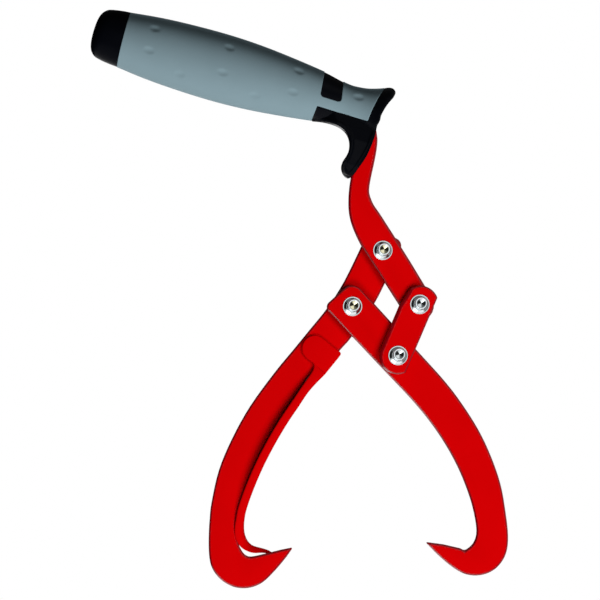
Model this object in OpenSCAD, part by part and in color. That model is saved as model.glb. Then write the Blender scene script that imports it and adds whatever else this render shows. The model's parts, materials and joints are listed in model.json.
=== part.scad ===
// Log tongs: a pistol-shaped two-colour handle, a scissor linkage of flat
// steel bars on four rivets, and three hooks that close round a log.
// Frame: origin in the middle of the hand grip, +X towards the front of the
// handle, +Z up, and -Y towards the side that the rivets were closed from.
// All sizes are in millimetres, and the jaws are drawn as they hang half open.

/* [Steel bars] */
// Thickness of the four cut steel bars
plate_t = 5; // [4:0.5:6]
// Running gap between two bars that turn on one rivet
plate_gap = 0.2; // [0.1:0.05:0.4]
// Thickness of the second hook's strap
strap_t = 4; // [3.5:0.5:4.5]
// Thickness of the head that the strap is forged flat into
head_flat_t = 1.8; // [1.4:0.2:2.6]
// Gap between the strap and the bar that it is welded to
strap_gap = 0.1; // [0.1:0.05:0.3]

/* [Linkage] */
// Main rivet, forward of the middle of the grip
main_x = 82.4; // [80:0.2:86]
// Main rivet, below the middle of the grip
main_drop = 91.2; // [88:0.2:96]
// Main rivet to the rivet that joins the two hook arms
left_span = 31.8; // [30:0.1:34]
// Main rivet to the rivet at the handle arm's lower end
handle_span = 32.6; // [31:0.1:35]
// Length of the link, rivet to rivet
link_span = 27.7; // [26.5:0.1:29.5]
// Distance between the right arm's two rivets
right_span = 33.3; // [32:0.1:35]
// Slope of the left arm below the horizontal, at the main rivet
left_slope = 118.4; // [114:0.1:122]
// Slope of the handle arm below the horizontal, at the main rivet
handle_slope = 55.8; // [52:0.1:59]

/* [Rivets] */
// Diameter of the hollow rivets' shank
shank_d = 5.5; // [4.5:0.1:6]
// Radial clearance round a shank that turns
shank_play = 0.08; // [0.05:0.01:0.1]
// Extra radial play in the right arm's lower hole
slack_play = 1.45; // [1.3:0.05:1.6]
// Diameter of the factory head at the back
head_d = 10.4; // [9.6:0.2:12]
// Height of the factory head
head_h = 2; // [1.4:0.2:2.6]
// Outer diameter of the washer under the rolled end
washer_d = 9.8; // [9:0.2:11]
// Thickness of that washer
washer_t = 1.2; // [0.8:0.1:1.6]
// Diameter of the rolled end
lip_d = 6.8; // [6.4:0.1:7.4]
// Height of the rolled end above its washer
lip_h = 1.1; // [0.8:0.1:1.5]
// Mouth of the hollow in the rolled end
hollow_d = 4.4; // [3.6:0.1:4.6]
// Depth of the hollow
hollow_depth = 3; // [2:0.5:4]
// Clearance under a head or a washer
seat_gap = 0.05; // [0:0.01:0.1]

/* [Handle] */
// Slope of the handle below the horizontal
handle_tilt = 16.7; // [14:0.1:20]
// Height of the grip at its belly
grip_h = 34.2; // [32:0.2:38]
// Thickness of the grip at its belly, side to side
grip_w = 28; // [26:0.5:31]
// Length from the middle of the grip to its closed end
grip_back = 65; // [62:0.5:72]
// Length of the black end cap
cap_len = 15.4; // [12:0.2:18]
// Thickness of the soft grey skin
skin_t = 3; // [2:0.25:4]
// Width of the tang inside the handle
tang_w = 9; // [8:0.5:10]
// How far the tang reaches behind the middle of the grip
tang_back = 30; // [10:1:40]
// Thickness of the finger hook, side to side
guard_w = 22; // [19:0.5:24]

/* [Hidden] */

// Front faces of the three layers of bars, the middle one centred on Y = 0
mid_y = -plate_t / 2;
back_y = plate_t / 2 + plate_gap;
front_y = -plate_t * 1.5 - plate_gap;

// The four rivets, as [x, z]: the lower one closes the four-bar loop
main_p = [main_x, -main_drop];
left_p = main_p + left_span * [cos(left_slope), -sin(left_slope)];
link_p = main_p + handle_span * [cos(handle_slope), -sin(handle_slope)];
lower_p = meeting(left_p, right_span, link_p, link_span);
right_slope = slope(left_p, lower_p);
link_slope = slope(link_p, lower_p);

shank_r = shank_d / 2;
bore_r = shank_r + shank_play;
slack_r = shank_r + slack_play;
grip_flat = grip_w / grip_h;
belly_r = grip_h / 2;
cap_u = cap_len - grip_back;

// Lower point where a circle round p and a circle round q meet
function meeting(p, rp, q, rq) =
    let (d = norm(q - p), a = (rp * rp - rq * rq + d * d) / (2 * d),
         h = sqrt(rp * rp - a * a), e = (q - p) / d)
    p + a * e + h * [e.y, -e.x];

// Angle below the horizontal of the line from p to q
function slope(p, q) = atan2(p.y - q.y, q.x - p.x);

// Catmull-Rom curve through points of any length, n steps between two points
function blend4(a, b, c, d, t) =
    (2 * b + (c - a) * t + (2 * a - 5 * b + 4 * c - d) * t * t
     + (3 * b - a - 3 * c + d) * t * t * t) / 2;
function curve(p, n = 4) = let (last = len(p) - 1)
    [for (i = [0 : last - 1], k = [0 : n - 1])
        blend4(p[max(i - 1, 0)], p[i], p[i + 1], p[min(i + 2, last)], k / n), p[last]];

// Points of an arc round c from angle a to angle b
function arc(c, r, a, b, n = 12) =
    [for (k = [0 : n]) let (t = a + (b - a) * k / n) c + r * [cos(t), sin(t)]];

// A point (u, v) of a bar's own frame: u along the bar from pivot p, v to its left
function at(p, bar_slope, q) =
    p + [q.x * cos(bar_slope) + q.y * sin(bar_slope), q.y * cos(bar_slope) - q.x * sin(bar_slope)];
function placed(p, bar_slope, list) = [for (q = list) at(p, bar_slope, q)];

// A flat bar cut from plate: its [x, z] outline, and its front face
module plate(outline, y, t = plate_t) {
    translate([0, y + t, 0]) rotate([90, 0, 0]) linear_extrude(t) polygon(outline);
}

// A round hole through one layer of bars
module hole(p, y, r) {
    translate([p.x, y + plate_t + 1, p.y]) rotate([90, 0, 0])
        cylinder(h = plate_t + 2, r = r, $fn = 48);
}

// Handle arm: the cranked bar whose tang is buried in the handle. The tang runs
// along the handle, bends down in front of the finger hook and widens to a flat bar.
tang_top = tang_w / 2;
tang_outer_bend = [[58, tang_top], [70, 3.2], [79, -1], [83.4, -5]];
tang_inner_bend = [[76.2, -19], [74.6, -12.5], [69, -6.2], [60, -tang_top]];
neck_front = [[-2.9, 57.5], [-2.7, 54], [-3.4, 48.5], [-4.6, 42.5], [-5.9, 36.5],
              [-6.8, 31], [-6.5, 27.5], [-4.7, 23], [-2.1, 19.2]];
neck_back = [[-10.9, 2.4], [-13.3, 7.2], [-15.7, 13.2], [-17, 19.2], [-17.2, 25.2],
             [-16.8, 31.2], [-15.8, 37.5], [-14.2, 45]];
arm_front = [[-13.2, 9], [-2.4, 8.7], [12, 8.2]];
arm_eye = [-0.9, 8];
function handle_arm_outline() = concat(
    [at([0, 0], handle_tilt, [-tang_back, 1.5]), at([0, 0], handle_tilt, [4 - tang_back, tang_top])],
    curve(concat(placed([0, 0], handle_tilt, tang_outer_bend), [for (q = neck_front) main_p + q],
                 placed(main_p, handle_slope, arm_front))),
    placed(main_p, handle_slope, arc([handle_span, arm_eye[0]], arm_eye[1], 90, -90)),
    curve(concat([for (q = neck_back) main_p + q],
                 placed([0, 0], handle_tilt, tang_inner_bend))),
    [at([0, 0], handle_tilt, [4 - tang_back, -tang_top]),
     at([0, 0], handle_tilt, [-tang_back, -1.5])]);

module handle_arm() {
    color([0.80, 0.02, 0.02]) difference() {
        plate(handle_arm_outline(), mid_y);
        hole(main_p, mid_y, bore_r);
        hole(link_p, mid_y, bore_r);
    }
}

// Left arm: a rounded eye at the main rivet, a slowly curving bar, and a
// pointed hook. Its inner edge steps back where the strap lies beside it.
left_eye_inner = [-4.6, 3.6, 4];
left_eye_outer = [-2.6, -4.2, 6];
left_back = [[3, -10.4], [22.8, -9.6], [38.5, -10.7], [52, -13.2], [64.1, -15.5],
             [79.4, -18.5], [100.2, -21.3], [119, -21.5], [135.9, -19.8], [151.7, -15.4],
             [159.2, -12.4], [166.5, -9], [173.5, -5.2], [178.5, -1.7], [181.3, 1.6],
             [183.4, 6.1], [184.1, 11.4], [183.1, 16.8], [180.1, 22], [175, 26.1],
             [167.1, 28.7], [158, 30.6], [152.2, 31.3]];
left_point_edge = [[152.2, 31.3], [156.4, 26.3], [161.6, 20.6]];
left_throat = [[161.6, 20.6], [164.7, 17.1], [166.5, 14.7], [167, 12.8], [166.7, 11],
               [165.8, 9.2], [164.6, 7.4]];
left_inside = [[64, 3.2], [54, 5], [45, 7], [25.8, 9], [10, 8.6]];
function rounded(c, a, b) = arc([c[0], c[1]], c[2], a, b, 8);
function left_outline() = concat(
    rounded(left_eye_inner, 90, 180), rounded(left_eye_outer, 180, 270),
    curve(left_back), left_point_edge, curve(left_throat),
    curve(strap_bed(strap_gap)), curve(left_inside));

module left_arm() {
    color([0.80, 0.02, 0.02]) difference() {
        plate(placed(main_p, left_slope, left_outline()), back_y);
        hole(main_p, back_y, bore_r);
        hole(left_p, back_y, bore_r);
    }
}

// Second hook: a strap forged flat at its top into a head that lies on the left
// arm, and standing on edge below, where it curls inwards to a point behind the
// arm's own point. Each station is a place on the strap's inner edge, as (u, v),
// then how far the strap reaches outwards from there, then its front and its
// back, measured from the left arm's front face.
head_r = 6.5;
head_c = [6, 12.2];
head_start = [55.5, 6.5];
head_turn = 10.5;
function head_side(s) = head_c.y + sqrt(max(head_r * head_r - pow(s - head_c.x, 2), 0));
function head_station(s, inset) = [head_start.x + s * cos(head_turn),
    head_start.y - s * sin(head_turn), inset, head_side(s), -head_flat_t, 0];
strap_neck = [[68.3, 4.1, 0, 8.4, -2.3, 0], [70, 3.6, 0, 6.2, -3, 0],
              [74, 2.4, 0, 4.8, -4.2, 0]];
strap_line = [[80.6, 0.9, -5.4, 1.8], [89, 0.1, -6.4, 3], [98, -0.8, -6.8, 3.8],
              [109, -1.3, -6.8, 4.6], [121, -1.2, -6.2, 5.6], [132, -0.4, -5, 6.8],
              [142, 0.9, -3.4, 8], [148, 2.1, -2.4, 9], [152.2, 3.5, -1.7, 9.6]];
// Where the strap curls in, it also thins towards its point, so these stations
// hold a share of the full thickness too
strap_curl = [[155.6, 5.1, 1, -1, 10], [158.5, 7.2, 0.98, -0.2, 10.3],
              [160.8, 9.9, 0.88, 0.8, 10.4], [161.7, 12.4, 0.73, 2, 10.5],
              [161.75, 14.6, 0.65, 3.2, 10.5], [161.4, 16.8, 0.56, 4.4, 10.5],
              [160.9, 19, 0.46, 5.6, 10.4], [160.4, 21.6, 0.38, 6.8, 10.3]];
strap_tip = [[159.9, 24.6, 0.2, 1.2, 8.0, 10], [159.5, 27.2, 0.3, 0.9, 9.1, 9.8]];
stations = concat([head_station(-0.4, 0.5), head_station(2, 0), head_station(5, 0),
                   head_station(9, 0), head_station(11.3, 0), head_station(12.2, 0)],
                  strap_neck, [for (q = strap_line) [q[0], q[1], 0, strap_t, q[2], q[3]]],
                  [for (q = strap_curl) [q[0], q[1], 0, strap_t * q[2], q[3], q[4]]],
                  strap_tip);
rings = curve(stations, 3);

// Unit vector that points from the strap's inner edge to its outer one
function outwards(i) = let (a = rings[max(i - 1, 0)], b = rings[min(i + 1, len(rings) - 1)],
    d = [b[0] - a[0], b[1] - a[1]]) [d.y, -d.x] / norm(d);

// The left arm's inner edge where it follows the strap, from the hook upwards
strap_bed_first = 8;
strap_bed_last = 19;
function strap_bed(off) = [for (i = [strap_bed_last : -1 : strap_bed_first])
    let (k = i * 3) [rings[k][0], rings[k][1]] + (rings[k][3] + off) * outwards(k)];

// One ring of the strap: a rectangle with small corner chamfers
ring_n = 8;
corner_share = 0.18;
function ring(i) =
    let (q = rings[i], n = outwards(i), y0 = back_y + q[4], y1 = back_y + q[5],
         c = corner_share * min(q[3] - q[2], y1 - y0),
         flat = [[q[2] + c, y0], [q[3] - c, y0], [q[3], y0 + c], [q[3], y1 - c],
                 [q[3] - c, y1], [q[2] + c, y1], [q[2], y1 - c], [q[2], y0 + c]])
    [for (f = flat) let (w = at(main_p, left_slope, [q[0], q[1]] + f.x * n)) [w.x, f.y, w.y]];

module second_hook() {
    count = len(rings);
    sides = [for (i = [0 : count - 2], k = [0 : ring_n - 1])
        let (a = i * ring_n, b = a + ring_n, m = (k + 1) % ring_n)
        each [[a + k, b + m, a + m], [a + k, b + k, b + m]]];
    first = [for (k = [1 : ring_n - 2]) [0, k, k + 1]];
    tail = (count - 1) * ring_n;
    last = [for (k = [1 : ring_n - 2]) [tail, tail + k + 1, tail + k]];
    color([0.82, 0.03, 0.03])
        polyhedron([for (i = [0 : count - 1]) each ring(i)], concat(sides, first, last));
}

// Weld: a small fillet round the head's outer end, on the left arm's face
weld_leg = 1;
weld_gap = 0.15;
weld_from = -75;
weld_sweep = 150;
module second_hook_weld() {
    c = at(main_p, left_slope, [head_start.x + head_c.x * cos(head_turn) - head_c.y * sin(head_turn),
                                head_start.y - head_c.x * sin(head_turn) - head_c.y * cos(head_turn)]);
    color([0.72, 0.02, 0.02]) translate([c.x, back_y, c.y]) rotate([90, 0, 0])
        rotate([0, 0, weld_from - left_slope - 90 - head_turn]) rotate_extrude(angle = weld_sweep, $fn = 64)
            translate([head_r + weld_gap, 0])
                polygon([[0, 0.02], [weld_leg, 0.02], [weld_leg * 0.45, weld_leg * 0.45], [0, weld_leg]]);
}

// Right arm: a squared eye at the left rivet, a straight bar past the lower
// rivet, then a curve down to a hook that faces the other two.
right_back = [[19, 8.8], [36.9, 8.7], [57.9, 8.5], [72.3, 7.2], [87.8, 4.4], [101.9, 0],
              [115.5, -6], [127, -13.3], [137, -20.7], [142.6, -27.2], [144.7, -34],
              [144, -40.2], [140.8, -45.8], [135.7, -49.8], [128.9, -51.9], [120, -53],
              [111.2, -53.2]];
right_throat = [[111.2, -53.2], [118.2, -47.4], [125.4, -42.5], [127.8, -41.7]];
right_inside = [[127.8, -41.7], [127.9, -36], [124.3, -30.4], [114.5, -24], [104, -19.2],
                [93.5, -15.5], [82, -12.7], [69, -10.8], [53.6, -10], [30, -10.3], [8, -10.5]];
eye_end = -9.5;
eye_corner_r = 3;
eye_shoulder_r = 6;
function right_outline() = concat(
    arc([eye_end + eye_corner_r, eye_corner_r - 10.5], eye_corner_r, 270, 180, 6),
    arc([eye_end + eye_shoulder_r, 8.9 - eye_shoulder_r], eye_shoulder_r, 180, 90, 8),
    curve(right_back), right_throat, curve(right_inside));

module right_arm() {
    color([0.80, 0.02, 0.02]) difference() {
        plate(placed(left_p, right_slope, right_outline()), mid_y);
        hole(left_p, mid_y, bore_r);
        hole(lower_p, mid_y, slack_r);
    }
}

// Link: a short bar with round ends, trimmed flat along both sides
link_end_r = 9.4;
link_left = -9.3;
link_right = 6.8;
function link_end(c, a, b) = [for (q = arc([c, 0], link_end_r, a, b, 24))
    [q.x, min(max(q.y, link_left), link_right)]];

module link() {
    color([0.80, 0.02, 0.02]) difference() {
        plate(placed(link_p, link_slope, concat(link_end(0, 90, 270), link_end(link_span, -90, 90))),
              front_y);
        hole(link_p, front_y, bore_r);
        hole(lower_p, front_y, bore_r);
    }
}

// Hollow rivet: factory head behind the rear bar, and the rolled end in front
// of the washer. Its profile is drawn as [radius, height from the head's seat].
module rivet(p, rear_y) {
    stack = 2 * plate_t + plate_gap + seat_gap * 2 + washer_t;
    lip_r = lip_d / 2;
    hollow_r = hollow_d / 2;
    head_r1 = head_d / 2;
    profile = concat(
        [[0, -head_h]], arc([head_r1 - head_h, 0], head_h, -90, 0, 6), [[shank_r, 0], [shank_r, stack]],
        [[lip_r - 0.3, stack], [lip_r, stack + lip_h * 0.45], [lip_r - 0.4, stack + lip_h * 0.9],
         [lip_r - 0.8, stack + lip_h], [hollow_r, stack + lip_h * 0.7],
         [hollow_r * 0.55, stack + lip_h - hollow_depth], [0, stack + lip_h - hollow_depth - 0.4]]);
    color([0.80, 0.80, 0.76]) translate([p.x, rear_y + seat_gap, p.y]) rotate([90, 0, 0])
        rotate_extrude($fn = 64) polygon(profile);
}

// Washer: a flat ring with a rounded outer edge, on the front bar's face
module washer(p, face_y) {
    inner = shank_r + shank_play;
    outer = washer_d / 2;
    color([0.72, 0.73, 0.74]) translate([p.x, face_y - seat_gap, p.y]) rotate([90, 0, 0])
        rotate_extrude($fn = 64)
            polygon([[inner, 0], [outer, 0], [outer, washer_t * 0.5], [outer - 0.35, washer_t],
                     [inner, washer_t]]);
}

module main_rivet() { rivet(main_p, back_y + plate_t); }
module left_rivet() { rivet(left_p, back_y + plate_t); }
module link_rivet() { rivet(link_p, mid_y + plate_t); }
module lower_rivet() { rivet(lower_p, mid_y + plate_t); }
module main_washer() { washer(main_p, mid_y); }
module left_washer() { washer(left_p, mid_y); }
module link_washer() { washer(link_p, front_y); }
module lower_washer() { washer(lower_p, front_y); }

// Handle: bodies of revolution round the handle's own axis, pressed flatter side
// to side. Each profile point is [distance along the axis, share of the belly].
grip_line = [[-38, 0.9], [-27, 0.953], [-12, 0.991], [2, 1], [14, 0.977], [25, 0.93],
             [37, 0.857], [45, 0.8], [53, 0.735], [61, 0.635], [66, 0.59], [70, 0.594],
             [75, 0.632], [80.5, 0.728], [85, 0.83], [87.2, 0.823], [88.6, 0.737], [88.8, 0.55]];
seam_line = [[cap_u, 0.822]];
outer_line = curve(concat([seam_line[0]], grip_line), 2);

module revolved(line) {
    translate([0, 0, grip_rise]) rotate([0, -grip_lift, 0])
        for (k = [0 : 3]) scale([1, grip_flat, 1]) rotate([0, 90, 0]) rotate([0, 0, 90 * k])
        rotate_extrude(angle = 90, $fn = 64)
            polygon(concat([[0, line[0][0]]], [for (q = line) [q[1] * belly_r, q[0]]],
                           [[0, line[len(line) - 1][0]]]));
}

// The grip's axis rises a little forwards, against the handle's own line
grip_rise = 0.4;
grip_lift = 0.45;
module in_handle() { rotate([0, handle_tilt, 0]) children(); }

// A region given by its [u, v] outline in the handle's side view
module side_cut(outline, half) {
    translate([0, half, 0]) rotate([90, 0, 0]) linear_extrude(2 * half) polygon(outline);
}

front_seam = [[79.2, -4.1], [79.8, 2], [80.8, 7.7], [82.6, 13.8], [84, 20]];
pad_u = 52.4;
pad_v = -4.1;
cut_reach = 40;
window_outline = [[52.6, 1.6], [62.8, 1.6], [58.8, 21.6], [50.4, 21.6]];

module outer_shape() { revolved(outer_line); }
core_end = [83.6, 0.79];
module core_shape() {
    revolved([for (q = concat(seam_line, [for (g = grip_line) if (g[0] < core_end[0]) g], [core_end]))
        [q[0], q[1] - skin_t / belly_r]]);
}
module window_cut() { side_cut(window_outline, cut_reach); }

// The black front of the handle: the pad under the skin, the flared flange
// and the finger hook, as one outline in the side view
guard_outline = concat(
    [[pad_u, pad_v]], front_seam, [[90, 20], [88.9, 14.6], [88.3, 11.4]],
    curve([[88.3, 11.4], [86.3, 7.6], [85, 3.6], [84.7, -0.2], [85.1, -2.1], [84.5, -5],
           [84.9, -10.5], [84.6, -15.7], [83.7, -21.7], [81.6, -28.2], [80.2, -32],
           [78, -34.2], [75.3, -33.1], [73.4, -30.4], [73.1, -27.5], [74.2, -23.6],
           [74.4, -19.9], [73.2, -15.9], [70.6, -12.8], [66.6, -11], [62, -10.6],
           [57, -11.1], [pad_u, -12.1]]));

// Side-to-side shape of the finger hook, as [share of its half thickness, v], and
// how it widens from the pad forwards, as [share, u]
guard_side = [[0.6, 2], [0.66, -4], [0.84, -9], [0.98, -15], [1, -21], [0.94, -27], [0.74, -32],
              [0.45, -34.8]];
guard_plan = [[0.28, 48], [0.32, 52], [0.44, 57], [0.7, 62], [0.92, 67], [1, 72], [1, 90]];
function both_sides(half, list) = concat([for (q = list) [-q[0] * half, q[1]]],
    [for (i = [len(list) - 1 : -1 : 0]) [list[i][0] * half, list[i][1]]]);
module guard_block() {
    intersection() {
        rotate([90, 0, 90]) linear_extrude(guard_plan[6][1]) polygon(both_sides(guard_w / 2, guard_side));
        translate([0, 0, -cut_reach]) rotate([0, 0, -90]) linear_extrude(2 * cut_reach)
            polygon(both_sides(guard_w / 2, curve(guard_plan, 2)));
    }
}

module handle_core() {
    color([0.05, 0.05, 0.07]) difference() {
        in_handle() union() {
            core_shape();
            intersection() {
                outer_shape();
                window_cut();
            }
            intersection() {
                side_cut(guard_outline, cut_reach);
                union() {
                    outer_shape();
                    guard_block();
                }
            }
        }
        plate(handle_arm_outline(), mid_y);
    }
}

module handle_grip() {
    color([0.48, 0.55, 0.56]) in_handle() difference() {
        intersection() {
            outer_shape();
            side_cut(concat([[cap_u - 1, -cut_reach], [cap_u - 1, cut_reach]],
                            [[front_seam[4].x, cut_reach]], [for (i = [4 : -1 : 0]) front_seam[i]],
                            [[front_seam[0].x, -cut_reach]]), cut_reach);
        }
        side_cut([[pad_u, pad_v], [95, pad_v], [95, -cut_reach], [pad_u, -cut_reach]], cut_reach);
        window_cut();
        core_shape();
    }
}

// End cap: closes the grip's rear end, with a full round on its rim
cap_end = -grip_back;
cap_line = [[cap_end, 0], [cap_end + 0.1, 0.2], [cap_end + 0.5, 0.38], [cap_end + 1.3, 0.53],
            [cap_end + 2.6, 0.64], [cap_end + 4.6, 0.72], [cap_end + 7.6, 0.765],
            [cap_end + 11.5, 0.8], [cap_u, 0.822]];
module handle_end_cap() {
    color([0.04, 0.04, 0.05]) in_handle() revolved(curve(cap_line, 2));
}

handle_arm();
left_arm();
second_hook();
second_hook_weld();
right_arm();
link();
main_rivet();
left_rivet();
link_rivet();
lower_rivet();
main_washer();
left_washer();
link_washer();
lower_washer();
handle_core();
handle_grip();
handle_end_cap();
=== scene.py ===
"""Looks of the log tongs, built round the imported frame, in metres."""
import json
from math import atan2, cos, degrees, pi, radians, sin

import bmesh
import bpy
import numpy as np
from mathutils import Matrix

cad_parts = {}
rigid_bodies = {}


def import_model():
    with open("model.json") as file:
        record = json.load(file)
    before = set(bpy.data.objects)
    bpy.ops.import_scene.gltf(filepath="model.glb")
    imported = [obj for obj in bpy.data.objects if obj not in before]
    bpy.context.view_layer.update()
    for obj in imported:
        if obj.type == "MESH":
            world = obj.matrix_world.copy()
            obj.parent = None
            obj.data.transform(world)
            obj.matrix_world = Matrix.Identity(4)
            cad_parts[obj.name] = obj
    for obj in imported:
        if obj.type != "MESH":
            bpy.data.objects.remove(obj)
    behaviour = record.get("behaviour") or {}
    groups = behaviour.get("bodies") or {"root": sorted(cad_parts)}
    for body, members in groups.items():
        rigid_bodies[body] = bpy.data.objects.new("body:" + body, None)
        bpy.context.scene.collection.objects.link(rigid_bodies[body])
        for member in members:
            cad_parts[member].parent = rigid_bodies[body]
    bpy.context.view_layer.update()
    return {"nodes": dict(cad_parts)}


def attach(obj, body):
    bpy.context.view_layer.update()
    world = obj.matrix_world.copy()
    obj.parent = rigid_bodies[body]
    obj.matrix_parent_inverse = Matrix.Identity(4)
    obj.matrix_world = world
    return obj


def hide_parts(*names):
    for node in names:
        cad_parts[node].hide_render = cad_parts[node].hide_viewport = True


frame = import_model()

# Cut steel bars
# Three long bars cut from 5 mm plate, tumbled so that every edge is softly round, and
# sprayed with a thick gloss red. Along the rounded edges a darker red is painted shade, under a
# clear coat.
MM = 0.001
BAR, LAYER = 5.0, 5.2
BUMP_DEPTH = 0.2
RED_DEEP, RED_FULL = (0.57, 0.0, 0.0006, 1), (0.63, 0.0, 0.001, 1)
# Painted shade: the darker red laid along the bars' rounded edges.
RED_EDGE_SHADE = (0.28, 0.0, 0.004, 1)
EDGE_BAND_RISE, EDGE_BAND_FADE, EDGE_BAND_END = 0.2, 0.3, 1.2


class Value:
    """An output socket that shader maths is written with; each operation adds a Math node."""

    def __init__(self, nodes, socket):
        self.nodes, self.socket = nodes, socket

    def out(self, name):
        """Another output of the same node."""
        return Value(self.nodes, self.socket.node.outputs[name])

    def __neg__(self): return self.nodes.math("MULTIPLY", self, -1.0)
    def __add__(self, o): return self.nodes.math("ADD", self, o)
    def __radd__(self, o): return self.nodes.math("ADD", o, self)
    def __sub__(self, o): return self.nodes.math("SUBTRACT", self, o)
    def __rsub__(self, o): return self.nodes.math("SUBTRACT", o, self)
    def __mul__(self, o): return self.nodes.math("MULTIPLY", self, o)
    def __rmul__(self, o): return self.nodes.math("MULTIPLY", o, self)
    def __truediv__(self, o): return self.nodes.math("DIVIDE", self, o)
    def __rtruediv__(self, o): return self.nodes.math("DIVIDE", o, self)
    def at_most(self, o): return self.nodes.math("MINIMUM", self, o)
    def at_least(self, o): return self.nodes.math("MAXIMUM", self, o)


class Nodes:
    """A node tree, with one method that adds a node of any type."""

    def __init__(self, tree):
        self.tree = tree

    def feed(self, slot, v):
        """Links a Value to an input socket, or sets the socket to a constant."""
        if isinstance(v, Value):
            self.tree.links.new(v.socket, slot)
        else:
            slot.default_value = v

    def node(self, kind, sockets=None, out=0, **settings):
        """A new node's output, if any: settings go in first, then sockets, by name or number."""
        n = self.tree.nodes.new("ShaderNode" + kind)
        for key, v in settings.items():
            setattr(n, key, v)
        for key, v in (sockets or {}).items():
            self.feed(n.inputs[key], v)
        return Value(self, n.outputs[out]) if n.outputs else None

    def math(self, operation, *values):
        return self.node("Math", dict(enumerate(values)), operation=operation)


class Shader(Nodes):
    """A material with one Principled shader, fed by constants and by Values."""

    def __init__(self, name, **constants):
        self.mat = bpy.data.materials.new(name)
        self.mat.use_nodes = True
        super().__init__(self.mat.node_tree)
        for key, v in constants.items():
            self.set(key.replace("_", " "), v)

    def set(self, name, v):
        self.feed(self.tree.nodes["Principled BSDF"].inputs[name], v)

    def place(self):
        return self.node("TexCoord", out="Object")

    def noise(self, scale, detail=2.0):
        return self.node("TexNoise", {"Vector": self.place(), "Scale": scale, "Detail": detail})

    def mix(self, share, a, b):
        """Colour a turning to b as share goes from 0 to 1, by a Mix node's colour sockets."""
        return self.node("Mix", {0: share, 6: a, 7: b}, out=2, data_type="RGBA")

    def bump(self, height, strength):
        self.set("Normal", self.node("Bump", {"Height": height, "Strength": strength,
                                              "Distance": BUMP_DEPTH * MM}))


def red(name, edged):
    """Gloss red; on cut bars a darker, glossier line follows the rounded edges: the darker red is
    painted shade, the gloss a clear coat.

    A bar's faces lie BAR / 2 from the middle of its layer, and layers follow each other every
    LAYER millimetres of depth, so depth below the face = BAR / 2 - |y to the layer's middle|.
    The line's share rises from 0 at the face to 1 over EDGE_BAND_RISE, and is back at 0 at
    EDGE_BAND_END.
    """
    paint = Shader(name, Roughness=0.3, Specular_IOR_Level=0.02, Coat_Roughness=0.12)
    colour = paint.mix(paint.noise(60.0), RED_DEEP, RED_FULL)
    paint.bump(paint.noise(260.0), 0.02)
    if edged:
        y = paint.node("SeparateXYZ", {"Vector": paint.place()}, out="Y")
        below = BAR / 2 - paint.math("PINGPONG", y, LAYER / 2 * MM) / MM
        # The edge band: its share sets the painted shade in the colour and the clear coat's weight.
        edge_shade_and_coat = (below / EDGE_BAND_RISE).at_most((EDGE_BAND_END - below) / EDGE_BAND_FADE)
        edge_shade_and_coat = edge_shade_and_coat.at_most(1.0).at_least(0.0)
        # Painted shade: the colour turns to the darker red over the edge band.
        colour = paint.mix(edge_shade_and_coat, colour, RED_EDGE_SHADE)
        paint.set("Coat Weight", edge_shade_and_coat)
    paint.set("Base Color", colour)
    return paint


def add(name, mesh, body, nodes, material, smooth=True):
    """Puts a finished mesh on a body, in place of its CAD nodes."""
    obj = bpy.data.objects.new(name, mesh)
    bpy.context.scene.collection.objects.link(obj)
    mesh.materials.clear()
    mesh.materials.append(material.mat)
    if smooth:
        mesh.polygons.foreach_set("use_smooth", [True] * len(mesh.polygons))
    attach(obj, body)
    if nodes:
        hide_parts(*nodes)
    return obj


def modifier(obj, name, kind, **settings):
    mod = obj.modifiers.new(name, kind)
    for key, v in settings.items():
        setattr(mod, key, v)


cut_red, drawn_red = red("cut_bar_red", True), red("drawn_bar_red", False)
MAIN, LEFT, LINK, LOWER = PIVOTS = np.array([
    [82.4, -91.2], [67.275, -119.173], [100.724, -118.163], [89.860, -143.644]])
SAME_POINT, SAME_FACE = 2e-6, 1e-5
FLAT_ANGLE, SHARP_ANGLE, TIP_ANGLE, SIDE_ANGLE = 0.4, 35, 110, 12
STRAIGHT, HOLE_REACH, HOLE_SHARE = 4.4, 4.6, 0.15


def straighten_tips(bm):
    """Joins the outline's points near the point of a hook to the next ones on the same side.

    Both sides are straight over STRAIGHT millimetres then, and their rounded edges meet cleanly.
    """
    tips = [v for e in bm.edges if e.calc_face_angle(0) > radians(TIP_ANGLE) for v in e.verts]
    moves = {}
    for tip in tips:
        level = [v for v in bm.verts if v != tip and abs(v.co.y - tip.co.y) < SAME_FACE]
        near = [v for v in level if (v.co - tip.co).length < STRAIGHT * MM]
        for v in near:
            ahead = [w for w in level if w not in near
                     and (w.co - tip.co).angle(v.co - tip.co) < radians(SIDE_ANGLE)]
            moves[v] = min(ahead, key=lambda w: (w.co - tip.co).length)
    bmesh.ops.weld_verts(bm, targetmap=moves)


def cut_bar(node, body, edge):
    """The CAD bar with its flat faces rejoined and its edges rounded, those of holes the least."""
    bm = bmesh.new()
    bm.from_mesh(frame["nodes"][node].data)
    bmesh.ops.remove_doubles(bm, verts=bm.verts, dist=SAME_POINT)
    bmesh.ops.dissolve_limit(bm, angle_limit=radians(FLAT_ANGLE), verts=bm.verts, edges=bm.edges)
    straighten_tips(bm)
    weight = bm.edges.layers.float.new("bevel_weight_edge")
    for e in bm.edges:
        if e.calc_face_angle(0) > radians(SHARP_ANGLE):
            start = np.array([e.verts[0].co.x, e.verts[0].co.z]) / MM
            at_hole = np.linalg.norm(PIVOTS - start, axis=1).min() < HOLE_REACH
            e[weight] = HOLE_SHARE if at_hole else 1
    mesh = bpy.data.meshes.new(node)
    bm.to_mesh(mesh)
    bm.free()
    obj = add(node + "_bar", mesh, body, [node], cut_red)
    modifier(obj, "edge", "BEVEL", width=edge * MM, segments=6, use_clamp_overlap=False,
             limit_method="WEIGHT", harden_normals=True)


for node, body, edge in (("handle_arm", "handle", 1.6),
                         ("left_arm", "left_arm", 1.35),
                         ("right_arm", "right_arm", 1.35)):
    cut_bar(node, body, edge)

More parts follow.
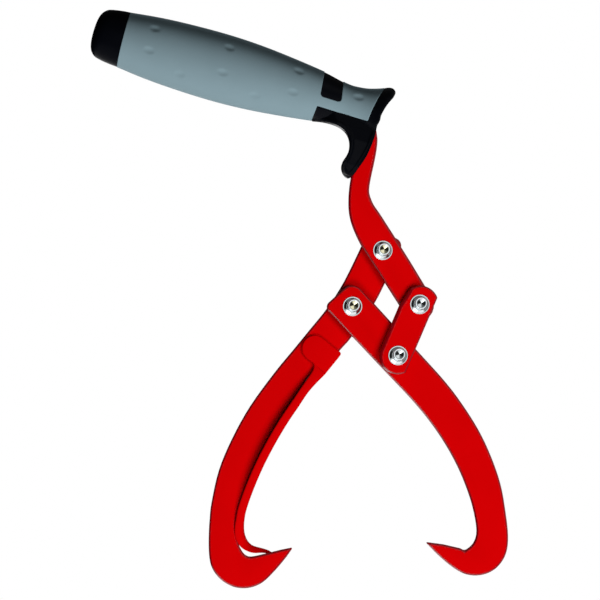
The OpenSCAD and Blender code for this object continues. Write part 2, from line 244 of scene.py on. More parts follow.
# Second hook
# A bar forged flat into a round head where it is welded to the left arm, then
# standing on edge beside that arm and drawn out to a point behind the arm's own.
FRONT_Y, MID_Y, BACK_Y = (k * LAYER - BAR / 2 for k in (-1, 0, 1))
LEFT_SLOPE, STRAP_THICK, HEAD_THICK = 118.4, 4.0, 1.8
HEAD_START, HEAD_TURN, HEAD_MIDDLE, HEAD_R = np.array([55.5, 6.5]), 10.5, (6.0, 12.2), 6.5
END_ROUND, END_SHARE, HEAD_ROWS, POINT_ROWS = 0.7, 0.35, 5, 3
EDGE_U, CURL_U, TURN, CURL_V, LEAN_OVER = 68, 150, 8, 8, 5


def from_pivot(pivot, slope, uv):
    """Side-view points [u along the bar, v to its left] as [x, z]: turned by slope, then moved."""
    uv, t = np.asarray(uv, float), radians(slope)
    return np.stack([pivot[0] + uv[..., 0] * cos(t) + uv[..., 1] * sin(t),
                     pivot[1] + uv[..., 1] * cos(t) - uv[..., 0] * sin(t)], -1)


def at_depth(xz, y):
    """Side-view points [x, z] and their depths as [x, y, z]."""
    return np.stack([xz[..., 0], y + 0 * xz[..., 0], xz[..., 1]], -1)


def curve(points, n):
    """Catmull-Rom curve through rows of any length, n steps between two rows."""
    p = np.asarray(points, float)
    p = np.concatenate([p[:1], p, p[-1:]])
    t = (np.arange(n) / n)[:, None]
    out = [(2 * b + (c - a) * t + (2 * a - 5 * b + 4 * c - d) * t ** 2
            + (3 * b - a - 3 * c + d) * t ** 3) / 2
           for a, b, c, d in zip(p[:-3], p[1:-2], p[2:-1], p[3:])]
    return np.concatenate(out + [p[-1:]])


def normals(d):
    """Steps along a line turned a quarter turn clockwise and brought to length 1."""
    return np.stack([d[:, 1], -d[:, 0]], -1) / np.linalg.norm(d, axis=1, keepdims=True)


def grid_faces(rows, cols, closed_cols=False, closed_rows=False):
    """Quads between neighbouring rows and columns of a grid of points."""
    i = np.arange(rows if closed_rows else rows - 1)[:, None]
    j = np.arange(cols if closed_cols else cols - 1)[None, :]
    i2, j2 = (i + 1) % rows, (j + 1) % cols
    return np.stack([i * cols + j, i * cols + j2, i2 * cols + j2, i2 * cols + j], -1).reshape(-1, 4)


def mesh_of(name, points, faces, caps=(), closed=True):
    """Mesh from points in millimetres, quads, and rings of point numbers to close as caps."""
    mesh = bpy.data.meshes.new(name)
    mesh.from_pydata((np.asarray(points).reshape(-1, 3) * MM).tolist(), [],
                     np.asarray(faces).tolist() + [list(c) for c in caps])
    if not closed:
        return mesh
    bm = bmesh.new()
    bm.from_mesh(mesh)
    bmesh.ops.recalc_face_normals(bm, faces=bm.faces)
    bm.to_mesh(mesh)
    bm.free()
    return mesh


def tube(name, rings):
    """A closed body through rings of points, with quads between them and a cap at each end."""
    n, k = len(rings), len(rings[0])
    return mesh_of(name, rings, grid_faces(n, k, True), [range(k), range((n - 1) * k, n * k)])


def head_point(s, n):
    """Side-view point s along the head's inner edge and n outwards from it."""
    t = radians(HEAD_TURN)
    return HEAD_START + np.array([s * cos(t) - n * sin(t), -s * sin(t) - n * cos(t)])


def head_row(s, inset):
    """A row of the head, from inset to its round outer edge: middle + sqrt(radius^2 - s^2)."""
    side = HEAD_MIDDLE[1] + max(HEAD_R ** 2 - (s - HEAD_MIDDLE[0]) ** 2, 0) ** 0.5
    return [*head_point(s, 0), inset, side, -HEAD_THICK, 0]


# A row is a point [u, v] of the inner edge, the strap's start and end outwards from
# there, and its front and rear, in millimetres behind the left arm's front face.
strap_rows = [head_row(s, inset) for s, inset in (
    (-0.4, 0.5), (0.6, 0.1), (2, 0), (3.5, 0), (5, 0), (7, 0), (9, 0), (10.4, 0), (11.3, 0),
    (12.2, 0))]
strap_rows += [
    [68.3, 4.1, 0, 8.4, -2.3, 0], [70, 3.6, 0, 6.2, -3, 0], [74, 2.4, 0, 4.8, -4.2, 0]]
strap_rows += [[u, v, 0, STRAP_THICK, front, rear] for u, v, front, rear in (
    (80.6, 0.9, -5.4, 1.8), (89, 0.1, -6.4, 3), (98, -0.8, -6.8, 3.8), (109, -1.3, -6.8, 4.6),
    (121, -1.2, -6.2, 5.6), (132, -0.4, -5, 6.8), (142, 0.9, -3.4, 8), (148, 2.1, -2.4, 9),
    (152.2, 3.5, -1.7, 9.6))]
strap_rows += [[u, v, 0, STRAP_THICK * share, front, rear] for u, v, share, front, rear in (
    (155.6, 5.1, 1.1, -1, 10), (158.5, 7.2, 1.15, -0.2, 10.3), (160.6, 9.9, 1, 0.8, 10.4),
    (161.4, 12.5, 0.78, 2, 10.5), (161.2, 14.8, 0.67, 3.2, 10.5), (160.7, 16.8, 0.54, 4.4, 10.5),
    (160.2, 19, 0.4, 5.6, 10.4), (159.8, 21.7, 0.3, 6.8, 10.3))]
strap_rows += [[159.9, 24.6, 0.2, 1.2, 8.0, 10], [159.5, 27.2, 0.3, 0.9, 9.1, 9.8]]


def rounded_box(n0, n1, y0, y1, r, front_r, steps=5):
    """Quarter circles round a rectangle's corners, of radius r, or front_r at its inner front."""
    t = np.linspace(0, pi / 2, steps + 1)
    corners = [(n1 - r, y1 - r, r, 0), (n0 + r, y1 - r, r, 1),
               (n0 + front_r, y0 + front_r, front_r, 2), (n1 - r, y0 + r, r, 3)]
    return np.concatenate([
        np.stack([cn + q * np.cos(t + k * pi / 2), cy + q * np.sin(t + k * pi / 2)], -1)
        for cn, cy, q, k in corners])


def second_hook():
    """Rounded rectangles standing across the hook's inner edge, from the head to the point.

    Near an end a ring is inset by END_ROUND x (1 - sqrt(1 - nearness^2)). The corners grow
    rounder as the strap turns on edge past EDGE_U, and again past CURL_U, where the curl's
    inner front leans back by the distance to the outer edge x the share of depth in front.
    """
    rows = curve(strap_rows, 6)
    outwards = normals(np.gradient(rows[:, :2], axis=0))
    rings = []
    for i, (u, v, n0, n1, y0, y1) in enumerate(rows):
        end = min(i / HEAD_ROWS, 1, (len(rows) - 1 - i) / POINT_ROWS)
        w = min(n1 - n0, y1 - y0)
        inset = min(END_ROUND * (1 - (1 - (1 - end) ** 2) ** 0.5), END_SHARE * w)
        w -= 2 * inset
        on_edge, curl = np.clip([(u - EDGE_U) / TURN, (u - CURL_U) / TURN], 0, 1)
        ring = rounded_box(n0 + inset, n1 - inset + 0.3 * on_edge, y0 + inset, y1 - inset,
                           min(0.7, (0.4 - 0.25 * curl) * w),
                           min(0.7 + 1.3 * on_edge + curl, (0.5 + 0.3 * curl) * w))
        xz = from_pivot(MAIN, LEFT_SLOPE, np.array([u, v]) + ring[:, :1] * outwards[i])
        lean = np.clip((v - CURL_V) / LEAN_OVER, 0, 1) * (u > CURL_U)
        lean = lean * (n1 - ring[:, 0]) * (y1 - ring[:, 1]) / (y1 - y0)
        rings.append(at_depth(xz, BACK_Y + ring[:, 1] + lean))
    return tube("second_hook", rings)


add("second_hook_strap", second_hook(), "left_arm", ["second_hook"], drawn_red)

# Weld of the second hook
# A thin bead of weld metal run in an arc round the head, which holds it to the
# left arm, painted over with the bars' red.
WELD_ARC, WELD_FADE, WELD_R, WELD_OUT, WELD_UP = 75, 80, 0.6, 0.2, 0.15


def weld_bead():
    """Circles along an arc round the head, of radius WELD_R x (1 - (angle / WELD_FADE)^4)."""
    middle = head_point(*HEAD_MIDDLE)
    arc = np.linspace(-WELD_ARC, WELD_ARC, 61)
    circle = np.linspace(0, 2 * pi, 13)[:-1]
    size = WELD_R * (1 - (abs(arc) / WELD_FADE) ** 4)
    rings = []
    for angle, r in zip(arc, size):
        t = radians(angle - 90 - HEAD_TURN)
        away = (HEAD_R + WELD_OUT + r * np.cos(circle))[:, None]
        xz = from_pivot(MAIN, LEFT_SLOPE, middle + np.array([cos(t), sin(t)]) * away)
        rings.append(at_depth(xz, BACK_Y + WELD_UP + r * np.sin(circle)))
    return tube("weld", rings)


add("second_hook_bead", weld_bead(), "left_arm", ["second_hook_weld"], drawn_red)

# Link
# A short plate with a wide roll along its left side, where the die drew the steel
# down, and a narrow one elsewhere; its two holes are hidden under the washers.
LINK_SLOPE = degrees(atan2(LINK[1] - LOWER[1], LOWER[0] - LINK[0]))
SPAN, END_R, LEFT_SIDE, RIGHT_SIDE = float(np.hypot(*(LOWER - LINK))), 9.4, -9.3, 6.8
LINK_HOLE_R, WIDE_ROLL, NARROW_ROLL, ROLL_RIM = 2.85, 2.45, 1.2, 0.3
drawn_in = np.array([[-6.1, -7.4], [-3.4, -7.9], [0, -8.4], [4.7, LEFT_SIDE]])


def even_ring(points, step):
    """A closed outline redrawn with points an even step apart along it."""
    p = np.concatenate([points, points[:1]])
    along = np.concatenate([[0], np.cumsum(np.linalg.norm(np.diff(p, axis=0), axis=1))])
    at = np.arange(0, along[-1] - step / 2, step)
    return np.stack([np.interp(at, along, p[:, k]) for k in (0, 1)], -1)


def link_outline():
    """Two half circles with flat sides, the left side drawn in a little past the upper rivet."""
    t = np.radians(np.arange(90, 270, 3))
    end = END_R * np.stack([np.cos(t), np.sin(t)], -1)
    ring = np.concatenate([end, [[drawn_in[-1, 0], -END_R]], [SPAN, 0] - end])
    left = np.where(ring[:, 0] < drawn_in[0, 0], -END_R, np.interp(ring[:, 0], *drawn_in.T))
    ring[:, 1] = np.clip(ring[:, 1], left, RIGHT_SIDE)
    return even_ring(ring, 0.6)


def rolled_plate(ring):
    """A plate whose faces roll over to its sides in quarter circles, wider where it faces left.

    The roll's radius = narrow + (wide - narrow) x (the outward normal's share to the left)^2.
    """
    n = normals(np.roll(ring, -2, axis=0) - np.roll(ring, 2, axis=0))
    n *= np.sign(((ring - ring.mean(axis=0)) * n).sum())
    r = (NARROW_ROLL + (WIDE_ROLL - NARROW_ROLL) * np.clip(-n[:, 1], 0, 1) ** 2)[:, None]
    rows = [(r + ROLL_RIM, 0 * r)]
    rows += [(r * (1 - sin(a)), r * (1 - cos(a))) for a in np.linspace(0, pi / 2, 9)]
    rows += [(inset, BAR - depth) for inset, depth in rows[::-1]]
    return tube("link", [
        at_depth(from_pivot(LINK, LINK_SLOPE, ring - n * inset), FRONT_Y + depth[:, 0])
        for inset, depth in rows])


def rod(pivot, radius, y0, y1, steps=48):
    """A round bar across the tongs, from depth y0 to y1."""
    t = np.linspace(0, 2 * pi, steps, endpoint=False)
    circle = pivot + radius * np.stack([np.cos(t), np.sin(t)], -1)
    return tube("rod", [at_depth(circle, y) for y in (y0, y1)])


def loose(mesh):
    """A working object for a mesh."""
    obj = bpy.data.objects.new("work", mesh)
    bpy.context.scene.collection.objects.link(obj)
    return obj


def result(obj):
    """The object's mesh with its modifiers carried out; the working object goes."""
    mesh = bpy.data.meshes.new_from_object(obj.evaluated_get(bpy.context.evaluated_depsgraph_get()))
    bpy.data.objects.remove(obj)
    return mesh


def carve(a, b, operation):
    """Two closed meshes combined: the space they share, or the first without the second."""
    oa, ob = loose(a), loose(b)
    modifier(oa, "cut", "BOOLEAN", operation=operation, solver="EXACT", object=ob)
    mesh = result(oa)
    bpy.data.objects.remove(ob)
    return mesh


plate = rolled_plate(link_outline())
for pivot in (LINK, LOWER):
    plate = carve(plate, rod(pivot, LINK_HOLE_R, FRONT_Y - 1, FRONT_Y + BAR + 1), "DIFFERENCE")
add("link_bar", plate, "link", ["link"], cut_red)
plate.set_sharp_from_angle(angle=radians(SHARP_ANGLE))

# Rivets and washers
# Hollow zinc-plated rivets: a low domed head behind, and in front a shank rolled
# over a dished washer, which leaves a bright lip round a small tapering hollow.
ZINC_ROUGHNESS, DULLER, ROUGHNESS_SPREAD = 0.12, 0.82, 0.08


def zinc_shader(name, tint):
    """Bright metal whose tint and roughness vary a little with fine noise."""
    zinc = Shader(name, Metallic=1.0, Roughness=ZINC_ROUGHNESS)
    dull = (*[DULLER * t for t in tint], 1)
    zinc.set("Base Color", zinc.mix(zinc.noise(900.0), dull, (*tint, 1)))
    smoothest = ZINC_ROUGHNESS - ROUGHNESS_SPREAD / 2
    zinc.set("Roughness", smoothest + ROUGHNESS_SPREAD * zinc.noise(500.0))
    return zinc


blue_zinc = zinc_shader("zinc_blue", (0.76, 0.82, 0.84))
yellow_zinc = zinc_shader("zinc_yellow", (0.92, 0.88, 0.6))

# Profiles are [radius, height towards the viewer].
washer_line = curve([
    [2.85, 0.05], [3.6, 0.02], [4.5, 0.02], [4.82, 0.08], [4.89, 0.2], [4.84, 0.33], [4.68, 0.38],
    [4.48, 0.41], [4.2, 0.5], [3.85, 0.82], [3.5, 1.12], [3.1, 1.46], [2.88, 1.5]], 3)
washer_line = np.concatenate([washer_line, washer_line[:1]])
lip_line = curve([
    [2.1, 1.0], [2.6, 1.05], [2.92, 1.17], [3.02, 1.4], [3.02, 1.8], [2.94, 2.1], [2.78, 2.23],
    [2.5, 2.25], [2.26, 2.2], [2.1, 1.98], [2.05, 1.7], [2.05, 1.3], [2.1, 1.0]], 4)
hollow_line = curve([
    [0.02, -0.4], [2.3, -0.4], [2.3, 1.7], [2.12, 1.9], [1.6, 1.64], [1.1, 1.38], [0.6, 1.12],
    [0.2, 0.94], [0.02, 0.9]], 4)
head_line = curve([
    [0.02, 2.0], [2.6, 1.99], [3.7, 1.9], [4.5, 1.6], [5.0, 1.0], [5.18, 0.4], [5.2, 0.05],
    [5.0, 0.0], [2.6, 0.0], [0.02, 0.0]], 4)
RIVET_LENGTH = LAYER + BAR
shank_line = np.array([
    [0.02, 0], [2.7, 0], [2.7, RIVET_LENGTH + 1.2], [0.02, RIVET_LENGTH + 0.2]])
LIP_SHIFT = np.array([0.66, 0.56])


def turned(name, pivot, face_y, profile, steps=72):
    """A profile turned round a rivet: x, z = pivot + radius x (cos, sin), y = face - height."""
    t = np.linspace(0, 2 * pi, steps, endpoint=False)
    r, h = profile[:, :1], profile[:, 1:]
    points = np.stack([pivot[0] + r * np.cos(t), face_y - h + 0 * t, pivot[1] + r * np.sin(t)], -1)
    if np.allclose(profile[0], profile[-1]):
        return mesh_of(name, points[:-1], grid_faces(len(points) - 1, steps, True, True))
    return tube(name, points)


def rivet(name, pivot, body, face, finish):
    """Shank and head, and the rolled end, which sits a little off the washer's middle."""
    rear = face + RIVET_LENGTH
    for part, at, y, line, zinc, smooth in (
            ("lip", pivot + LIP_SHIFT, face, lip_line, blue_zinc, True),
            ("hollow", pivot + LIP_SHIFT, face, hollow_line, finish, True),
            ("shank", pivot, rear, shank_line, blue_zinc, False),
            ("head", pivot, rear, head_line * [1, -1], blue_zinc, True)):
        part = name + "_" + part
        add(part, turned(part, at, y, line), body, [name], zinc, smooth)


for name, pivot, body, face, finish in (("main", MAIN, "handle", MID_Y, yellow_zinc),
                                        ("left", LEFT, "left_arm", MID_Y, yellow_zinc),
                                        ("link", LINK, "handle", FRONT_Y, blue_zinc),
                                        ("lower", LOWER, "link", FRONT_Y, blue_zinc)):
    rivet(name + "_rivet", pivot, body, face, finish)
    add(name + "_washer_disc", turned(name + "_washer", pivot, face, washer_line), body,
        [name + "_washer"], blue_zinc)

# Grey skin of the handle
# A soft grey skin moulded over the hard core, swelling to a belly under the palm and
# thinning to a neck, with shallow oval dimples for grip and a cut-out for a window.
TILT, AXIS_RISE, AXIS_LIFT = 16.7, 0.4, 0.00785
BELLY, FLAT = 17.1, 27.96 / 34.2
CAP_U, PAD_U, WIN_U, FRONT_U = -49.6, 53.1, 64.15, 79.2
PAD_V, WIN_V = -4.4, 0.8
SEAM_GAP, SKIN_THICK, SKIN_EDGE = 0.05, 1.6, 0.3
STRIP, OVER = 14, 56
DIMPLE_LONG, DIMPLE_HIGH, DIMPLE_DEEP = 3.1, 2.0, 0.5
SKIN_DEEP, SKIN_PALE = (0.18, 0.258, 0.288, 1), (0.20, 0.283, 0.318, 1)

# The grip's half height as [u, share of the belly].
grip_line = curve([
    [-65, 0.78], [-57, 0.79], [-49.6, 0.822], [-38, 0.9], [-27, 0.953], [-12, 0.991], [2, 1],
    [14, 0.977], [25, 0.93], [37, 0.857], [45, 0.8], [53, 0.735], [61, 0.635], [66, 0.59],
    [70, 0.594], [75, 0.632], [80.5, 0.728], [85, 0.83], [87.2, 0.823], [88.6, 0.737],
    [88.8, 0.55]], 8)
front_seam = np.array([[FRONT_U, -4.1], [79.8, 2], [80.8, 7.7], [82.6, 13.8], [84, 20]])
dimples = [(-35.2, 9.3), (-34.9, -2.1), (3, 10.8), (3.3, -2.2), (39.4, 9.7), (39.6, -1.4),
           (21.6, -8.6), (-17.1, -9.1), (71.6, 5.8)]


def radius(u):
    """Half height of the grip at u."""
    return np.interp(u, *grip_line.T) * BELLY


def axis_v(u):
    """Height of the grip's axis at u, a straight line."""
    return AXIS_RISE + AXIS_LIFT * u


def from_handle(u, y, v):
    """Points of the handle's own frame in the row frame: turned down by TILT round y."""
    t = radians(TILT)
    return np.stack([u * cos(t) + v * sin(t), y + 0 * u, v * cos(t) - u * sin(t)], -1)


def seam_u(v):
    """Place along u of the front seam at height v."""
    return np.interp(v, front_seam[:, 1], front_seam[:, 0])


def cap_lean(u, v):
    """How far points near the end cap's seam move forwards, evenly more towards the bottom."""
    return np.interp(u, [-56, CAP_U, -40], [0, 1, 0]) * (0.35 - 0.04 * v)


def angles(u):
    """Angles round the grip, whose height over the axis is radius x sin(angle).

    They run from the pad's line to the window's line in front, over the top, back from the
    window's line to the pad's behind, and round the bottom.
    """
    lo = np.arcsin((PAD_V - axis_v(u)) / radius(u))
    hi = np.arcsin((WIN_V - axis_v(u)) / radius(u))
    a, b = np.linspace(0, 1, STRIP + 1)[:-1], np.linspace(0, 1, OVER + 1)[:-1]
    return np.concatenate([lo + (hi - lo) * a, hi + (pi - 2 * hi) * b,
                           pi - hi + (hi - lo) * a, pi - lo + (pi + 2 * lo) * b])


def dimple(u, t):
    """Oval hollows, in front and behind: - deep x (1 - (du / long)^2 - (ds / high)^2)^1.3."""
    h, r = np.zeros_like(t), radius(u)
    for bu, bv in dimples:
        c = np.arcsin((bv - axis_v(bu)) / radius(np.float64(bu)))
        for c2 in (c, pi - c):
            s = (t - c2 + pi) % (2 * pi) - pi
            d = ((u - bu) / DIMPLE_LONG) ** 2 + (s * r / DIMPLE_HIGH) ** 2
            h -= DIMPLE_DEEP * np.clip(1 - d, 0, 1) ** 1.3
    return h


def rounded_corner(u, v, corner, inward, r):
    """Moves side-view points near a corner of the window so that its square edge turns round.

    A point keeps its larger distance from the arc's middle, measured along u or v, as its true
    distance; the move fades to none over one more radius.
    """
    a, b = (u - corner[0]) * inward / r + 1, (corner[1] - v) / r + 1
    far = np.maximum(a, b)
    share = np.where(far <= 1, 1, np.clip(2 - far, 0, 1)) * ((a > 0) & (b > 0))
    pull = share * (far / np.maximum(np.hypot(a, b), 1e-9) - 1)
    return u + pull * a * r * inward, v - pull * b * r


def skin_points(us, sink=0.0, dimpled=True):
    """Grid of skin points, one row a station: y = - FLAT x r x cos(t), v = axis + r x sin(t).

    Stations past the window lean to meet the front seam, and those beside the window, the pad
    and the end cap's seam lean with its edges.
    """
    rows = []
    for u0 in us:
        t = angles(u0)
        u = np.full_like(t, u0)
        v = axis_v(u) + radius(u) * np.sin(t)
        if u0 > WIN_U:
            share = (u0 - WIN_U) / (FRONT_U - WIN_U)
            for _ in range(3):
                v = axis_v(u) + radius(u) * np.sin(t)
                u = WIN_U + share * (seam_u(v) - WIN_U)
        u = u - np.interp(u, [44, PAD_U, WIN_U, 74], [0, 0.11, 0.2, 0]) * np.maximum(v - WIN_V, 0)
        u = u + np.interp(u, [44, PAD_U, WIN_U], [0, 0.09, 0]) * np.minimum(v - PAD_V, 0)
        u = u + cap_lean(u, v)
        if dimpled:
            for side_u, inward, r in ((PAD_U, -1, 1.5), (WIN_U, 1, 2.2)):
                u, v = rounded_corner(u, v, (side_u, WIN_V), inward, r)
            s = np.arcsin(np.clip((v - axis_v(u)) / radius(u), -1, 1))
            t = np.where(abs(v - WIN_V) < 4, np.where(np.cos(t) > 0, s, pi - s), t)
        r = radius(u) - sink + (dimple(u, t) if dimpled else 0)
        rows.append(from_handle(u, -FLAT * r * np.cos(t), axis_v(u) + r * np.sin(t)))
    return np.array(rows)


def patch(name, us, keep, sink=0.0, dimpled=True):
    """The part of the skin where keep(station, column) holds, with its faces outwards."""
    points = skin_points(us, sink, dimpled)
    rows, cols = points.shape[:2]
    faces = grid_faces(rows, cols, True)
    i, j = np.meshgrid(np.arange(rows - 1), np.arange(cols), indexing="ij")
    faces = faces[keep((us[:-1] + us[1:])[i.ravel()] / 2, j.ravel())]
    used, back = np.unique(faces, return_inverse=True)
    return mesh_of(name, points.reshape(-1, 3)[used], back.reshape(-1, 4)[:, ::-1], closed=False)


def finish_shell(obj, thick, edge):
    """Gives a patch its wall, inwards, and rounds its rims."""
    modifier(obj, "thickness", "SOLIDIFY", thickness=thick * MM, offset=-1)
    modifier(obj, "rim", "BEVEL", width=edge * MM, segments=3, limit_method="ANGLE",
             angle_limit=radians(50), harden_normals=False)


def skin_covers(u, j):
    """All round as far as the pad, and from there on neither the pad nor the window."""
    top, bottom = (j >= STRIP) & (j < STRIP + OVER), j >= 2 * STRIP + OVER
    return (u < PAD_U) | (~bottom & ((u > WIN_U) | ~top))


skin = Shader("grey_skin", Roughness=0.6, Specular_IOR_Level=0.1)
skin.set("Base Color", skin.mix(skin.noise(90.0, 4.0), SKIN_DEEP, SKIN_PALE))
skin.bump(skin.noise(1500.0, 3.0), 0.12)

stations = np.concatenate([np.linspace(CAP_U + SEAM_GAP, PAD_U, 206),
                           np.linspace(PAD_U, WIN_U, 22)[1:],
                           np.linspace(WIN_U, FRONT_U, 36)[1:]])
grip = add("handle_skin", patch("skin", stations, skin_covers),
           "handle", ["handle_grip"], skin)
finish_shell(grip, SKIN_THICK, SKIN_EDGE)

# Black mouldings of the handle
# The hard core shows as a closed end cap, a small window over the neck, and the
# front: a flared rim, a pad under the neck and a finger hook with a raised edge.
BLACK_DEEP, BLACK_PALE = (0.001, 0.0013, 0.0024, 1), (0.0018, 0.0022, 0.0036, 1)
WINDOW_SINK, WINDOW_THICK, WINDOW_EDGE = 0.3, 1.2, 0.1
GUARD_HALF, OUTLINE_HALF = 11.0, 30
BEAD_R, BEAD_INSET = 0.95, 0.5
INNER_SINK = 1.5


def black_shader(name, shine):
    plastic = Shader(name, Roughness=0.35, Specular_IOR_Level=shine)
    plastic.set("Base Color", plastic.mix(plastic.noise(120.0), BLACK_DEEP, BLACK_PALE))
    plastic.bump(plastic.noise(900.0), 0.04)
    return plastic


black, cap_black = black_shader("black_plastic", 0.05), black_shader("end_cap_black", 0.012)


def window_covers(u, j):
    """The top between the window's lines, and two columns more under the skin on each side."""
    return (j >= STRIP - 2) & (j < STRIP + OVER + 2)


window = patch("window", np.linspace(PAD_U - 1, WIN_U + 1, 24), window_covers, WINDOW_SINK, False)
finish_shell(add("handle_window", window, "handle", [], black),
             WINDOW_THICK, WINDOW_EDGE)


def revolved(name, line, steps=112):
    """[u, share of the belly] turned round the grip's axis and pressed flatter.

    r = share x BELLY, y = - FLAT x r x cos(t), v = axis + r x sin(t).
    """
    t = np.linspace(0, 2 * pi, steps, endpoint=False)
    u, r = line[:, :1], line[:, 1:] * BELLY
    v = axis_v(u) + r * np.sin(t)
    return tube(name, from_handle(u + cap_lean(u, v), -FLAT * r * np.cos(t), v))


cap_line = curve([
    [-64.85, 0], [-64.75, 0.2], [-64.38, 0.38], [-63.6, 0.53], [-62.3, 0.64], [-60.4, 0.72],
    [-57.4, 0.765], [-53.5, 0.8], [-49.9, 0.818], [-49.62, 0.812], [-49.6, 0.79], [-49.6, 0.6]], 6)
cap_line[:, 1] = np.maximum(cap_line[:, 1], 0.002)
add("handle_cap", revolved("cap", cap_line), "handle", ["handle_end_cap"],
    cap_black)

# Side view of the front as [u, v], and the finger hook's half thickness as
# [share of GUARD_HALF, v] from the front and [share, u] from above.
guard_curve = curve([
    (88.4, 11.4), (86.7, 7.8), (85.5, 3.8), (84.9, -0.1), (85.1, -2.1), (84.5, -5), (84.9, -10.5),
    (84.6, -15.7), (83.7, -21.7), (81.6, -28.2), (80.2, -32), (78, -34.2), (75.3, -33.1),
    (73.4, -30.4), (73.1, -27.5), (74.2, -23.6), (74.4, -19.9), (73.2, -15.9), (70.6, -12.8),
    (66.6, -11), (62, -10.6), (57, -11.1), (PAD_U - 0.7, -12.1)], 6)
outline = np.concatenate([[(PAD_U, PAD_V)], front_seam, [(90, 20), (88.9, 14.6)], guard_curve])
guard_side = np.array([
    [0.6, 2], [0.66, -4], [0.84, -9], [0.98, -15], [1, -21], [0.94, -27], [0.74, -32],
    [0.45, -34.8]])
guard_plan = curve([[0.28, 48], [0.32, 52], [0.44, 57], [0.7, 62], [0.92, 67], [1, 72], [1, 90]], 4)
bead_path = curve([
    (83.9, -8.5), (83.5, -12), (82.9, -18), (81.4, -24), (79.6, -29), (77.8, -32), (75.9, -31.4),
    (74.7, -29.4), (74.6, -27), (75.5, -23.8), (75.6, -19.6), (74.3, -15), (71.3, -11.6),
    (66.8, -9.6), (61, -9.2), (55, -10)], 5)


def prism(name, uv, half):
    """A side-view outline made solid between -half and half."""
    return tube(name, [from_handle(uv[:, 0], y, uv[:, 1]) for y in (-half, half)])


def both_sides(profile, ends, place):
    """A profile of [share of half the hook's thickness, distance], mirrored and drawn out.

    place(end, y, distance) puts it at each of the two ends.
    """
    side = np.concatenate([profile * [-1, 1], profile[::-1]])
    return tube("block", [place(np.full(len(side), end), side[:, 0] * GUARD_HALF, side[:, 1])
                          for end in ends])


def guard_block():
    """The finger hook's width, from the front view and from above together."""
    from_front = both_sides(guard_side, (48.0, 90.0), from_handle)
    from_above = both_sides(guard_plan, (-40.0, 20.0), lambda v, y, u: from_handle(u, y, v))
    return carve(from_front, from_above, "INTERSECT")


def bead(side):
    """Circles along a line just inside the finger hook's outline, on its left or right flank.

    The flank's half thickness is the lesser of the views from the front and from above.
    """
    circle = np.linspace(0, 2 * pi, 11)[:-1]
    across = normals(np.gradient(bead_path, axis=0))
    half = np.minimum(np.interp(-bead_path[:, 1], -guard_side[:, 1], guard_side[:, 0]),
                      np.interp(bead_path[:, 0], guard_plan[:, 1], guard_plan[:, 0]))
    half = half * GUARD_HALF - BEAD_INSET
    uv = bead_path[:, None, :] + across[:, None, :] * (np.cos(circle) * BEAD_R)[None, :, None]
    return tube("bead", from_handle(uv[..., 0], side * (half[:, None] + np.sin(circle) * BEAD_R),
                                    uv[..., 1]))


def merged(meshes, voxel, rounds):
    """Closed meshes joined into one skin of even small faces, then smoothed a little."""
    bm = bmesh.new()
    for m in meshes:
        bm.from_mesh(m)
    mesh = bpy.data.meshes.new("merged")
    bm.to_mesh(mesh)
    bm.free()
    obj = loose(mesh)
    modifier(obj, "skin", "REMESH", mode="VOXEL", voxel_size=voxel * MM)
    modifier(obj, "soft", "SMOOTH", factor=0.5, iterations=rounds)
    return result(obj)


neck_line = grip_line[grip_line[:, 0] > 50]
front_parts = [carve(part, prism("outline", outline, OUTLINE_HALF), "INTERSECT")
               for part in (revolved("neck", neck_line), guard_block())]
front_parts += [bead(-1), bead(1)]
add("handle_front", merged(front_parts, 0.34, 9), "handle", ["handle_core"], black)

inner_line = grip_line[(grip_line[:, 0] > -50) & (grip_line[:, 0] < 82)] - [0, INNER_SINK / BELLY]
add("handle_inner", revolved("inner", inner_line, 64), "handle", ["handle_core"],
    black)

# Light, camera and backdrop
# Soft round lamps, each for the handle or for the metal, and round them a dark room
# whose pale cards only gloss sees. The white backdrop is the world's own.
scene = bpy.context.scene
CENTRE, AWAY, HALF_VIEW = np.array([0.041, 0.0, -0.116]), 2.0, 0.150


def lamp(name, towards, size, power, lit):
    """A round area lamp that lights some objects only; gloss shows the room in its place."""
    data = bpy.data.lights.new(name, "AREA")
    data.shape, data.size, data.energy = "DISK", size, power
    obj = bpy.data.objects.new(name, data)
    obj.light_linking.receiver_collection = bpy.data.collections.new(name + "_lights")
    for other in lit:
        obj.light_linking.receiver_collection.objects.link(other)
    d = np.array(towards, float) / np.linalg.norm(towards)
    obj.location = CENTRE + AWAY * d
    obj.rotation_euler = (np.arccos(d[2]), 0, atan2(-d[1], -d[0]) - pi / 2)
    obj.visible_camera = obj.visible_glossy = False
    scene.collection.objects.link(obj)


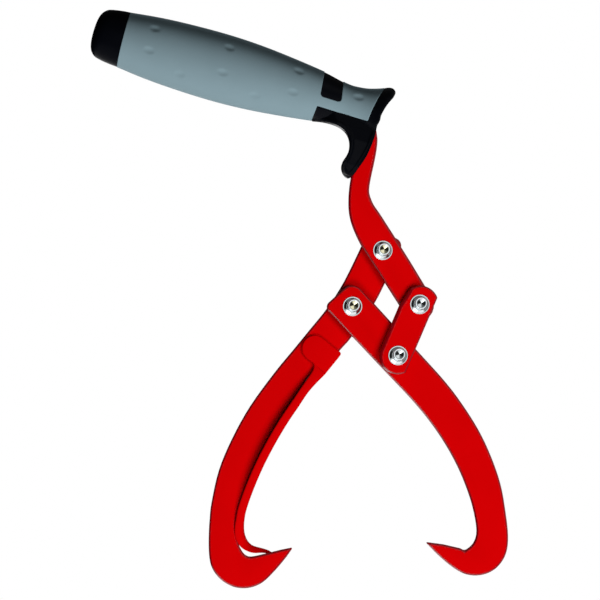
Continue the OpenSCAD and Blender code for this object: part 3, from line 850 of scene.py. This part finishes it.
handle_looks = [o for o in bpy.data.objects
                if o.name.startswith("handle_") and o.name != "handle_arm_bar"]
metal_looks = [o for o in bpy.data.objects if o.type == "MESH" and o not in handle_looks]
lamp("right_key", (0.65, -1.0, -0.08), 1.0, 27.0, metal_looks)
lamp("low_key", (0.0, -1.0, -0.68), 1.0, 19.5, metal_looks)
lamp("handle_key", (0.26, -1.0, -0.93), 1.2, 55.0, handle_looks)
lamp("handle_rim", (0.0, 1.0, 1.0), 1.0, 17.0, handle_looks)
lamp("back_fill", (-0.2, 1.0, 0.35), 1.4, 22.0, metal_looks)


def rising(v, start, width):
    """0 up to start, then evenly up to 1 over width."""
    return ((v - start) / width).at_least(0.0).at_most(1.0)


world = bpy.data.worlds.new("surround")
scene.world = world
world.use_nodes = True
room = Nodes(world.node_tree)
room.tree.nodes.clear()
split = room.node("SeparateXYZ", {"Vector": room.node("TexCoord", out="Generated")})
x, y, z = (split.out(axis) for axis in "XYZ")

# Cards, by the direction from the tongs: below, in front, to the right, above, high
# on the right in front, and a bright wedge down to the left.
below = rising(-0.97 * z - 0.25 * x, 0.55, 0.2)
front = rising(-y, 0.85, 0.1)
right = rising(x, 0.45, 0.3) * rising(y, -0.5, 0.12)
above = rising(z, 0.45, 0.3)
high_right = rising(0.6 * x + 0.8 * z, 0.62, 0.1) * rising(-y, 0.35, 0.15)
down_left, across = -0.574 * x - 0.819 * z, room.math("ABSOLUTE", 0.819 * x - 0.574 * z)
wedge = rising(0.34 * down_left - across, 0.0, 0.08) * rising(y, -0.85, 0.2)
mirrored = 0.015 + (1.15 * below).at_least(1.25 * front).at_least(0.3 * right).at_least(
    0.15 * above).at_least(0.95 * high_right).at_least(3.0 * wedge)

# The room is white to the camera and through glass, shows its cards to gloss, and
# is dim to everything else.
ray = room.node("LightPath")
glossy = ray.out("Is Glossy Ray")
white = ray.out("Is Camera Ray").at_least(ray.out("Is Transmission Ray"))
dim = 0.02 + 0.1 * rising(-z, -0.6, 1.2)
strength = white.at_least(glossy * mirrored).at_least((1 - white.at_least(glossy)) * dim)
backdrop = room.node("Background", {"Color": (1, 1, 1, 1), "Strength": strength})
room.node("OutputWorld", {"Surface": backdrop})

camera = bpy.data.objects.new("camera", bpy.data.cameras.new("camera"))
camera.location = CENTRE - [0, AWAY, 0]
camera.rotation_euler = (pi / 2, 0, 0)
camera.data.angle = 2 * atan2(HALF_VIEW, AWAY)
scene.collection.objects.link(camera)
scene.camera = camera
scene.view_settings.view_transform = "Standard"
